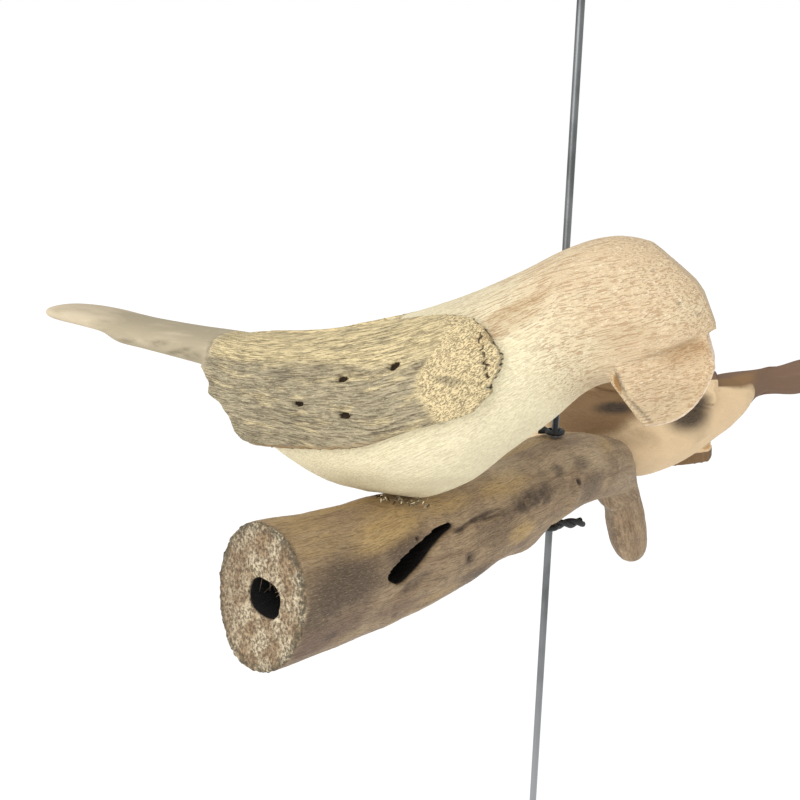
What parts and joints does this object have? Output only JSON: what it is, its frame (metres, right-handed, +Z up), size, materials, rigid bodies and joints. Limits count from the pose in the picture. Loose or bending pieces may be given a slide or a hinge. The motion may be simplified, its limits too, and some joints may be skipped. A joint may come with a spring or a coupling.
{
  "type": "hanging mobile sculpture",
  "caption": "Hanging mobile: birds carved in driftwood, wings and tails left as weathered skin, perched on a driftwood limb strung on a steel rod with an eye at each end.",
  "frame": {"origin": "inside top of the hanging eye, where a hook carries the mobile", "axes": "+Z up along the rod, +X along the limb from its sawn end to its elbow"},
  "size_m": [0.3225, 0.215, 0.4903],
  "materials": {
    "rod": "dark drawn steel, dully bright",
    "limb": "barked driftwood, smooth and dry, rough sawn end",
    "bird": "bare pale wood, sanded, with weathered grey-brown skin on wings and tail",
    "wire": "black coated soft wire, satin"
  },
  "bodies": {
    "root": {"rod": "rod", "limb": "limb", "near_bird": "bird", "far_bird": "bird", "upper_wire_tie": "wire", "lower_wire_tie": "wire"}
  },
  "joints": []
}
